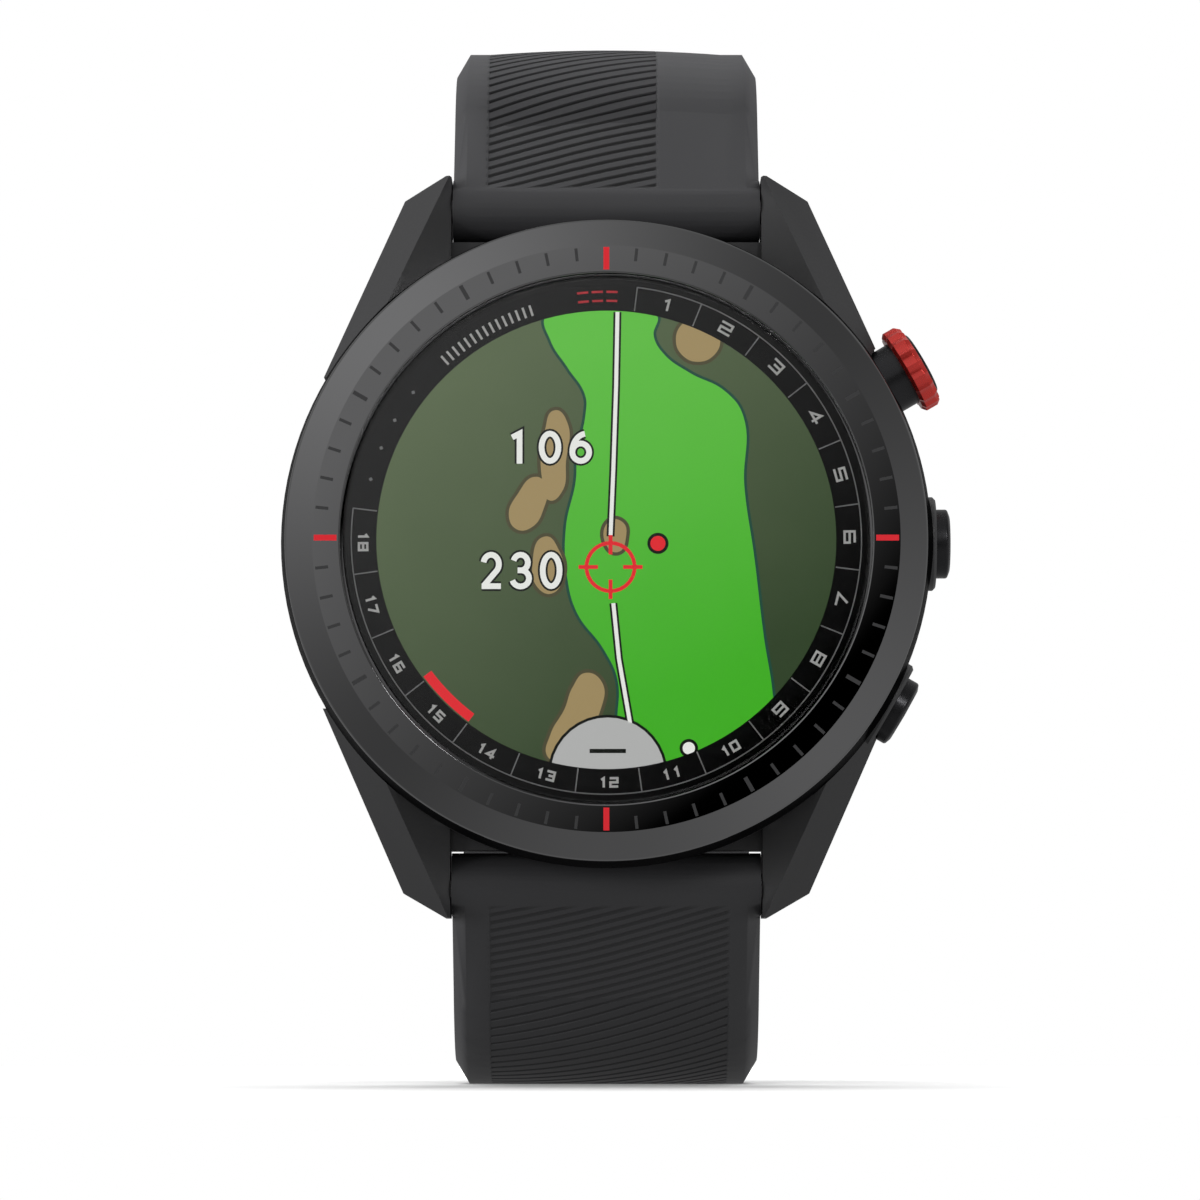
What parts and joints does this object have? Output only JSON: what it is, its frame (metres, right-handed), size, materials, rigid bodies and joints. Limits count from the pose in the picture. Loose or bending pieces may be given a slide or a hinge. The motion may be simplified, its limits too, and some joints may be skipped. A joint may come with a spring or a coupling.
{
  "type": "golf gps watch",
  "caption": "Round sports watch for golf: dark metal bezel with red marks, map display, side buttons, sensor back and a two-part silicone strap with pin buckle.",
  "frame": {"origin": "middle of the bounding box seen from above, at the lowest point of the lower strap bend", "axes": "-Y out of the display towards the viewer, +Z towards 12 o'clock, +X towards 3 o'clock and the buttons"},
  "size_m": [0.0484, 0.0616, 0.0773],
  "materials": {
    "case_polymer": "fine-textured black fibre-filled polymer",
    "bezel_metal": "smooth dark coated metal",
    "seal_rubber": "black seal rubber",
    "cover_glass": "clear polished cover glass",
    "dial_print": "black printed ring with pale numbers",
    "display": "lit colour display showing a green",
    "inner_polymer": "plain black moulded polymer",
    "flex_film": "amber flexible circuit film",
    "battery_foil": "plain foil pouch",
    "foam": "black foam tape",
    "circuit_board": "dark green solder mask",
    "shield_steel": "tinned sheet steel",
    "chip_black": "moulded chip package",
    "screw_steel": "blackened steel",
    "contact_brass": "plain brass disc",
    "antenna_steel": "plated spring steel",
    "barrel_steel": "turned stainless steel",
    "button_black": "black anodised",
    "button_red": "red anodised with fine knurling",
    "back_polymer": "satin black polymer",
    "sensor_glass": "dark tinted glass",
    "sensor_parts": "clear lens over green lights",
    "contact_gold": "gold plated",
    "bar_steel": "ground stainless steel",
    "strap_silicone": "soft matt black silicone with fine grooves",
    "hook_steel": "pressed stainless steel",
    "latch_steel": "ribbed stainless steel",
    "keeper_silicone": "soft matt black silicone",
    "buckle_steel": "dark coated stainless steel",
    "clip_steel": "spring steel"
  },
  "bodies": {
    "module": {"back_cover": "back_polymer", "back_gasket": "seal_rubber", "back_screws": "screw_steel", "battery": "battery_foil", "battery_tape": "foam", "bezel": "bezel_metal", "bezel_gasket": "seal_rubber", "board_screws": "screw_steel", "button_barrels": "barrel_steel", "button_board": "flex_film", "button_switches": "shield_steel", "buzzer": "contact_brass", "case": "case_polymer", "charge_contacts": "contact_gold", "charge_insulator": "inner_polymer", "chassis": "inner_polymer", "display_flex": "flex_film", "display_panel": "display", "display_tray": "inner_polymer", "gps_antenna": "antenna_steel", "gps_module": "chip_black", "lens": "cover_glass", "lens_adhesive": "seal_rubber", "lug_bars": "bar_steel", "main_board": "circuit_board", "memory_chip": "chip_black", "number_ring": "dial_print", "sensor_board": "circuit_board", "sensor_lights": "sensor_parts", "sensor_window": "sensor_glass", "shield_can": "shield_steel", "vibration_motor": "shield_steel"},
    "start_button": {"start_core": "button_black", "start_ring": "button_red", "start_clip": "clip_steel", "start_seal": "seal_rubber"},
    "middle_button": {"middle_stem": "bar_steel", "middle_cap": "button_black", "middle_clip": "clip_steel", "middle_seal": "seal_rubber"},
    "lower_button": {"lower_stem": "bar_steel", "lower_cap": "button_black", "lower_clip": "clip_steel", "lower_seal": "seal_rubber"},
    "upper_band": {"strap_upper": "strap_silicone", "hook_upper": "hook_steel", "keeper_fixed": "keeper_silicone"},
    "lower_band": {"strap_lower": "strap_silicone", "hook_lower": "hook_steel"},
    "upper_latch": {"latch_upper": "latch_steel"},
    "lower_latch": {"latch_lower": "latch_steel"},
    "free_loop": {"keeper_free": "keeper_silicone"},
    "buckle": {"buckle_frame": "buckle_steel", "buckle_bar": "bar_steel"},
    "tongue": {"buckle_tongue": "buckle_steel"}
  },
  "joints": [
    {"name": "start_press", "type": "slide", "parent": "module", "child": "start_button", "axis": [-0.866, 0, -0.5], "range_m": [0, 0.0006], "stiffness_N_per_m": 1500, "springref_m": -0.0006},
    {"name": "middle_press", "type": "slide", "parent": "module", "child": "middle_button", "axis": [-1, 0, 0], "range_m": [0, 0.0006], "stiffness_N_per_m": 1500, "springref_m": -0.0006},
    {"name": "lower_press", "type": "slide", "parent": "module", "child": "lower_button", "axis": [-0.866, 0, 0.5], "range_m": [0, 0.0006], "stiffness_N_per_m": 1500, "springref_m": -0.0006},
    {"name": "upper_swing", "type": "hinge", "parent": "module", "child": "upper_band", "pos_m": [-0.0007, -0.0218, 0.0637], "axis": [1, 0, 0], "range_deg": [0, 60]},
    {"name": "lower_swing", "type": "hinge", "parent": "module", "child": "lower_band", "pos_m": [-0.0007, -0.0218, 0.0145], "axis": [1, 0, 0], "range_deg": [-8, 0]},
    {"name": "upper_release", "type": "slide", "parent": "upper_band", "child": "upper_latch", "axis": [0, 0.5, 0.866], "range_m": [0, 0.0012], "stiffness_N_per_m": 600, "springref_m": -0.0008},
    {"name": "lower_release", "type": "slide", "parent": "lower_band", "child": "lower_latch", "axis": [0, 0.5, -0.866], "range_m": [0, 0.0012], "stiffness_N_per_m": 600, "springref_m": -0.0008},
    {"name": "loop_slide", "type": "hinge", "parent": "upper_band", "child": "free_loop", "pos_m": [-0.0007, -0.01757, 0.03218], "axis": [1, 0, 0], "range_deg": [-12, 14]},
    {"name": "buckle_swing", "type": "hinge", "parent": "upper_band", "child": "buckle", "pos_m": [-0.0007, 0.02675, 0.03999], "axis": [1, 0, 0], "range_deg": [0, 50]},
    {"name": "tongue_swing", "type": "hinge", "parent": "buckle", "child": "tongue", "pos_m": [-0.0007, 0.02675, 0.03999], "axis": [1, 0, 0], "range_deg": [0, 45]}
  ]
}
